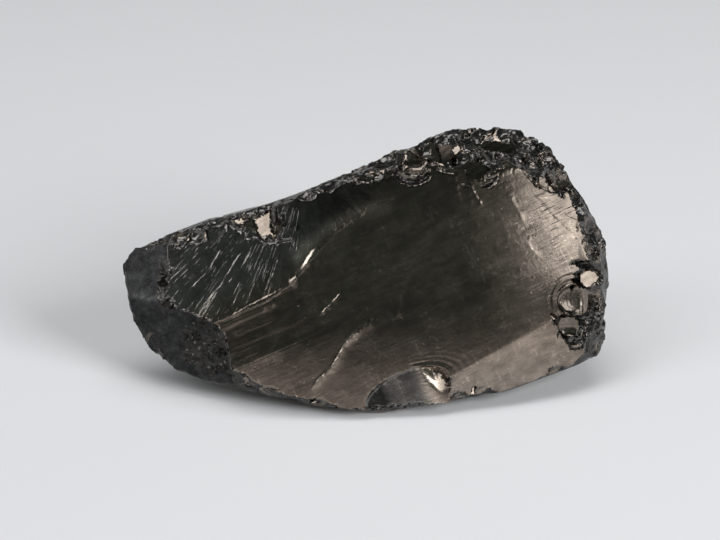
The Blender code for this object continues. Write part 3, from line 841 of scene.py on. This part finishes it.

# Painted highlights, the lightest places in the colour: along the crest of the ridge, on the band of rings
# in the scoop, and on every steep side that is freshly broken.
RIDGE_LINE = ((-43.9, 21.8), (-39.0, 21.3), (-35.3, 20.2), (-27.9, 17.2))
RIDGE_WIDTH = 0.5
RIDGE_LINE_PAINTED_HIGHLIGHT = 0.6
RINGS_AT = 4.6
RINGS_WIDTH = 1.6
RINGS_PAINTED_HIGHLIGHT = 1.8
FRESH_PAINTED_HIGHLIGHT = 1.5
from_ridge, _ = beside_line(across, up, RIDGE_LINE)
tone_and_painted_light += np.where(dullness > 0.5, RIDGE_LINE_PAINTED_HIGHLIGHT * close_to(from_ridge, RIDGE_WIDTH), 0.0)
tone_and_painted_light += np.where(scooped, RINGS_PAINTED_HIGHLIGHT * close_to(along_scoop - RINGS_AT, RINGS_WIDTH), 0.0)
tone_and_painted_light += np.where(laid, FRESH_PAINTED_HIGHLIGHT * fresh_and_highlit, 0.0)

# How bronze the reflection is: less on the darker break and in the left of the scoop.
warm = np.where(laid & (which == PLUME), np.clip(1.0 - plume_side / 7.0, 0.3, 1.0), 1.0)
in_scoop = np.clip(0.2 + 0.3 * np.maximum(along_scoop - 2.0, 0.0), 0.0, 1.0)
warm = np.where(scooped, in_scoop, warm)

# The broken rim of the left end is dull too, and chips show fresher coal.
LEFT_RIM_DULL = 0.7
STRUCK_FRESHENS = 0.6
dullness = np.where(rim & (across < -35.0), LEFT_RIM_DULL, dullness)
dullness = dullness * (1.0 - STRUCK_FRESHENS * struck)

lump.data.vertices.foreach_set("co", from_face(places).ravel())
for name, values in (
    ("dull", dullness),
    ("chipped", chipped),
    ("streaked", streaked),
    ("hackled", hackled),
    ("bright_end", bright_end),
    ("tone_and_painted_light", tone_and_painted_light),
    ("warm", warm),
    ("fresh_and_highlit", fresh_and_highlit),
    ("fanned", fanned),
):
    mask = lump.data.attributes.new(name, "FLOAT", "POINT")
    mask.data.foreach_set("value", np.asarray(values, float))
lay_of = lump.data.attributes.new("lay", "FLOAT_VECTOR", "POINT")
lay_of.data.foreach_set("vector", lay.ravel())
lump.data.update()

# --- The finish.
# Anthracite is nearly a metal to look at: black, but with a strong bronze reflection where the break
# is clean. The two faces at the left end are an old parting, dull and finely grained.

GREY_COAL = (0.185, 0.182, 0.176, 1.0)
BRONZE_COAL = (0.215, 0.180, 0.152, 1.0)
CHIPPED_COAL = (0.125, 0.120, 0.115, 1.0)
DULL_COAL = (0.058, 0.058, 0.059, 1.0)

# How rough the clean break and the dull faces are, and what fine lines, chips and a fresh break add.
CLEAN_ROUGH = 0.12
DULL_ROUGH = 0.42
LINES_ROUGH = 0.06
CHIPS_ROUGH = 0.14
FRESH_ROUGH = 0.16

# Heights in millimetres.
STREAK_HEIGHT = 0.1
FINE_STREAK_HEIGHT = 0.035
FINE_LINE_HEIGHT = 0.025
FAN_LINE_HEIGHT = 0.05
HATCH_HEIGHT = 0.008
GRAIN_HEIGHT = 0.012
PIT_HEIGHT = -0.02
MATT_HEIGHT = 0.26
SHARP_EDGE = math.radians(28)

coal = bpy.data.materials.new("anthracite")
coal.use_nodes = True
nodes, links = coal.node_tree.nodes, coal.node_tree.links
surface = nodes["Principled BSDF"]


def node(kind, inputs=(), **settings):
    """A node with its settings made, and its inputs linked or given."""
    made = nodes.new("ShaderNode" + kind)
    for name, value in settings.items():
        setattr(made, name, value)
    for name, value in dict(inputs).items():
        if isinstance(value, bpy.types.NodeSocket):
            links.new(value, made.inputs[name])
        else:
            made.inputs[name].default_value = value
    return made


def mask_of(name):
    return node("Attribute", attribute_name=name).outputs["Fac"]


def maths(operation, one, two=0.0):
    return node("Math", {0: one, 1: two}, operation=operation).outputs[0]


def product(first, *others):
    for other in others:
        first = maths("MULTIPLY", first, other)
    return first


def total(first, *others):
    for other in others:
        first = maths("ADD", first, other)
    return first


def span(value, low, high, to_low=0.0, to_high=1.0):
    """A value from low to high brought to another span, and held within it."""
    inputs = {"Value": value, "From Min": low, "From Max": high, "To Min": to_low, "To Max": to_high}
    return node("MapRange", inputs).outputs[0]


def noise(vector, scale, detail=2.0, roughness=0.5):
    inputs = {"Vector": vector, "Scale": scale, "Detail": detail, "Roughness": roughness}
    return node("TexNoise", inputs).outputs["Fac"]


def vectors(operation, one, two):
    return node("VectorMath", {0: one, 1: two}, operation=operation)


def mix(share, one, two):
    """A colour that goes from one to two as the share goes from 0 to 1."""
    made = nodes.new("ShaderNodeMix")
    made.data_type = "RGBA"
    for name, value in (("Factor", share), ("A", one), ("B", two)):
        if isinstance(value, bpy.types.NodeSocket):
            links.new(value, made.inputs[name])
        else:
            made.inputs[name].default_value = value
    return made.outputs["Result"]


in_mm = node("Mapping", {"Vector": node("TexCoord").outputs["Object"], "Scale": (1 / MM,) * 3}).outputs[0]
along_lay = node("Attribute", attribute_name="lay").outputs["Vector"]


def drawn_out(along, over, detail, roughness=0.6):
    """Noise that is finer across the lay of the break than along it, or the other way round."""
    stretched = node("Mapping", {"Vector": along_lay, "Scale": (along, over, 1.0)}).outputs[0]
    return noise(stretched, 1.0, detail, roughness)


def splinters_of(scale, hollow, tilt):
    """Small facets, each hollowed and turned its own way."""
    cells = node("TexVoronoi", {"Vector": shaken, "Scale": scale})
    turn = vectors("SUBTRACT", cells.outputs["Color"], (0.5, 0.5, 0.5))
    apart = vectors("SUBTRACT", shaken, cells.outputs["Position"])
    lean = vectors("DOT_PRODUCT", turn.outputs[0], apart.outputs[0])
    distance = cells.outputs["Distance"]
    return total(product(distance, distance, hollow), product(lean.outputs["Value"], tilt))


dull_mask, chip_mask = mask_of("dull"), mask_of("chipped")
streak_mask, hackle_mask = mask_of("streaked"), mask_of("hackled")

# The lines: broad and fine streaks, the fine lines that show in patches, those of the fan, and the
# hatching of the bright end.
streak_relief = product(drawn_out(0.05, 0.9, 4.0), streak_mask, STREAK_HEIGHT)
fine_streaks = product(drawn_out(0.03, 2.8, 3.0), streak_mask, FINE_STREAK_HEIGHT)
fine_lines = product(span(drawn_out(0.25, 3.4, 2.0), 0.58, 0.78), span(noise(in_mm, 0.16, 1.0), 0.4, 0.6))
fan_lines = product(span(drawn_out(0.12, 2.8, 3.0), 0.58, 0.74), mask_of("fanned"))
fan_lines = product(fan_lines, span(noise(in_mm, 0.25, 2.0), 0.42, 0.6))
line_relief = total(product(fine_lines, hackle_mask, FINE_LINE_HEIGHT), product(fan_lines, FAN_LINE_HEIGHT))
hatching = product(drawn_out(2.0, 0.3, 3.0), mask_of("bright_end"), HATCH_HEIGHT)

# The grain all over, the pin-sized pits, the splinters on the chips and the tooth of the dull faces.
grain = product(noise(in_mm, 1.6, 3.0, 0.6), GRAIN_HEIGHT)
from_pit = node("TexVoronoi", {"Vector": in_mm, "Scale": 0.55}).outputs["Distance"]
pits = product(span(from_pit, 0.0, 0.12, 1.0, 0.0), PIT_HEIGHT)
shake = node("TexNoise", {"Vector": in_mm, "Scale": 0.7}).outputs["Color"]
shaken = vectors("ADD", in_mm, vectors("MULTIPLY", shake, (0.9, 0.9, 0.9)).outputs[0]).outputs[0]
splinters = product(total(splinters_of(0.35, 0.35, 0.4), splinters_of(1.1, 0.05, 0.12)), chip_mask)
matt = product(noise(in_mm, 1.4, 5.0, 0.75), dull_mask, MATT_HEIGHT)
height = total(streak_relief, hatching, line_relief, fine_streaks, grain, pits, splinters, matt)
bump = node("Bump", {"Height": height, "Strength": 1.0, "Distance": MM})
links.new(bump.outputs["Normal"], surface.inputs["Normal"])

# The colour: grey or bronze, darker on the chips and darkest on the dull faces, smudged and dusty.
tone = mix(mask_of("warm"), GREY_COAL, BRONZE_COAL)
tone = mix(chip_mask, tone, CHIPPED_COAL)
tone = mix(dull_mask, tone, DULL_COAL)
smudges = span(noise(in_mm, 0.25, 8.0, 0.72), 0.35, 0.65, 0.75, 1.25)
dust = span(drawn_out(0.12, 0.5, 9.0, 0.78), 0.4, 0.6, 0.82, 1.18)
# The tone worked out on the mesh brings its painted highlights and painted shade in here too.
shade = product(smudges, mask_of("tone_and_painted_light"), dust)

# Handling has left patches of small scuffs, and scratches both across the lay and along it.
patchy = span(noise(in_mm, 0.13, 2.0, 0.6), 0.5, 0.62)
scuffs_and_line_highlights = product(span(noise(in_mm, 1.7, 4.0, 0.75), 0.56, 0.72, 0.0, 1.3), patchy)
in_places = span(noise(in_mm, 0.3, 3.0, 0.7), 0.48, 0.6)
for along, over in ((0.35, 0.035), (0.12, 0.4)):
    near_line = maths("ABSOLUTE", maths("SUBTRACT", drawn_out(along, over, 2.0, 0.4), 0.5))
    scuffs_and_line_highlights = total(scuffs_and_line_highlights, product(span(near_line, 0.0, 0.008, 0.7, 0.0), in_places))
scuffs_and_line_highlights = product(scuffs_and_line_highlights, maths("SUBTRACT", 1.0, maths("MAXIMUM", chip_mask, dull_mask)))
# Painted highlights: the fan's lines are also painted lighter.
scuffs_and_line_highlights = total(scuffs_and_line_highlights, product(fan_lines, 0.6))
shade = product(shade, total(scuffs_and_line_highlights, 1.0))

# The dull faces are mottled, and where they are chipped they carry painted glints: specks painted bright in
# the colour.
mottle = product(span(noise(in_mm, 0.6, 7.0, 0.85), 0.35, 0.65, -0.6, 0.7), dull_mask)
shade = product(shade, total(mottle, 1.0))
cells = node("TexVoronoi", {"Vector": in_mm, "Scale": 2.6}).outputs["Color"]
painted_glints = span(node("SeparateColor", {0: cells}).outputs[0], 0.94, 0.97, 0.0, 3.5)
shade = total(shade, product(painted_glints, chip_mask, dull_mask))
tone = node("VectorMath", {0: tone, 3: shade}, operation="SCALE").outputs[0]
links.new(tone, surface.inputs["Base Color"])
surface.inputs["Metallic"].default_value = 1.0
rough = total(span(dull_mask, 0.0, 1.0, CLEAN_ROUGH, DULL_ROUGH), product(hackle_mask, LINES_ROUGH))
rough = total(rough, product(chip_mask, CHIPS_ROUGH), product(mask_of("fresh_and_highlit"), FRESH_ROUGH))
links.new(rough, surface.inputs["Roughness"])
lump.data.materials.clear()
lump.data.materials.append(coal)
lump.data.polygons.foreach_set("use_smooth", [True] * len(lump.data.polygons))
lump.data.set_sharp_from_angle(angle=SHARP_EDGE)

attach(lump, "root")
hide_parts("coal_lump")

# --- The table.
# A plain pale table top, matt and seamless. It is only what the lump stands on, so it is a single
# flat sheet, wide enough to run out of sight on every side.

TABLE_HALF = 4.0
TABLE_COLOUR = (0.72, 0.73, 0.75, 1.0)
TABLE_ROUGH = 0.8
bm = bmesh.new()
bmesh.ops.create_grid(bm, x_segments=1, y_segments=1, size=TABLE_HALF)
top = bpy.data.meshes.new("table_top")
bm.to_mesh(top)
bm.free()
table = bpy.data.objects.new("table_top", top)
bpy.context.scene.collection.objects.link(table)
pale = bpy.data.materials.new("pale_table")
pale.use_nodes = True
pale.node_tree.nodes["Principled BSDF"].inputs["Base Color"].default_value = TABLE_COLOUR
pale.node_tree.nodes["Principled BSDF"].inputs["Roughness"].default_value = TABLE_ROUGH
top.materials.append(pale)

# --- The light.
# Soft daylight in a pale room, from a large source overhead and windows left and right. The polished
# face is a mirror, so the room is made of bands: pale at the level of the table, dark above it, with
# a faint brighter band half way up.

ROOM_LOW = (0.02, (1.12, 1.1, 1.08, 1))
ROOM_ABOVE = (1.0, (0.3, 0.3, 0.3, 1))
LOW_TINT = (1.0, 0.98, 0.97)
HIGH_TINT = (0.95, 1.12, 1.05)
HIGH_FROM = 0.25
LIT_AT = Vector((0.0, 0.0, 0.02))

scene = bpy.context.scene
scene.view_settings.view_transform = "Standard"
sky = bpy.data.worlds.new("room")
scene.world = sky
sky.use_nodes = True
nodes, links = sky.node_tree.nodes, sky.node_tree.links
upward = node("SeparateXYZ", {0: node("TexCoord").outputs["Generated"]}).outputs["Z"]
room = node("ValToRGB", {"Fac": upward})
for stop, (at, colour) in zip(room.color_ramp.elements, (ROOM_LOW, ROOM_ABOVE)):
    stop.position = at
    stop.color = colour
for at, tone in (
    (0.12, 0.6),
    (0.2, 0.36),
    (0.25, 0.2),
    (0.3, 0.10),
    (0.36, 0.085),
    (0.47, 0.125),
    (0.57, 0.09),
    (0.65, 0.065),
    (0.72, 0.02),
    (0.8, 0.04),
):
    stop = room.color_ramp.elements.new(at)
    tint = HIGH_TINT if at > HIGH_FROM else LOW_TINT
    stop.color = (tone * tint[0], tone * tint[1], tone * tint[2], 1)
links.new(room.outputs["Color"], nodes["Background"].inputs["Color"])


def soft_light(name, at, size, power):
    """An even rectangular light, turned to face the lump."""
    lamp = bpy.data.lights.new(name, "AREA")
    lamp.shape = "RECTANGLE"
    lamp.size, lamp.size_y = size
    lamp.energy = power
    light = bpy.data.objects.new(name, lamp)
    light.location = at
    light.rotation_euler = (LIT_AT - Vector(at)).to_track_quat("-Z", "Y").to_euler()
    scene.collection.objects.link(light)
    return light


soft_light("overhead", (0.0, 0.05, 0.7), (0.5, 0.4), 2.0)
soft_light("left_window", (-0.48, -0.2, 0.56), (0.26, 0.56), 1.35)
soft_light("right_window", (0.52, -0.52, 0.42), (0.19, 0.22), 0.36)
soft_light("right_glow", (0.54, -0.54, 0.36), (0.46, 0.46), 0.09)

# This one only lightens the shadows: it has no reflection.
fill = soft_light("right_fill", (0.74, -0.56, 0.55), (0.5, 0.5), 8.5)
fill.visible_glossy = False

# --- The camera.
# It looks squarely at the great face from close by, through a long lens, so it leans down as far as
# the face leans back.

LOOKED_AT = from_face(np.array(((-0.93, 26.48, 0.0),)))[0]
CAMERA_AWAY = 0.45
SENSOR_WIDTH = 36.0
FOCAL_LENGTH = 121.5
NEAREST_SEEN = 0.01
lens = bpy.data.cameras.new("camera")
lens.sensor_width = SENSOR_WIDTH
lens.lens = FOCAL_LENGTH
lens.clip_start = NEAREST_SEEN
camera = bpy.data.objects.new("camera", lens)
camera.location = LOOKED_AT + FACE_AXES[2] * CAMERA_AWAY
camera.rotation_euler = (math.pi / 2 - FACE_LEAN, 0.0, 0.0)
scene.collection.objects.link(camera)
scene.camera = camera
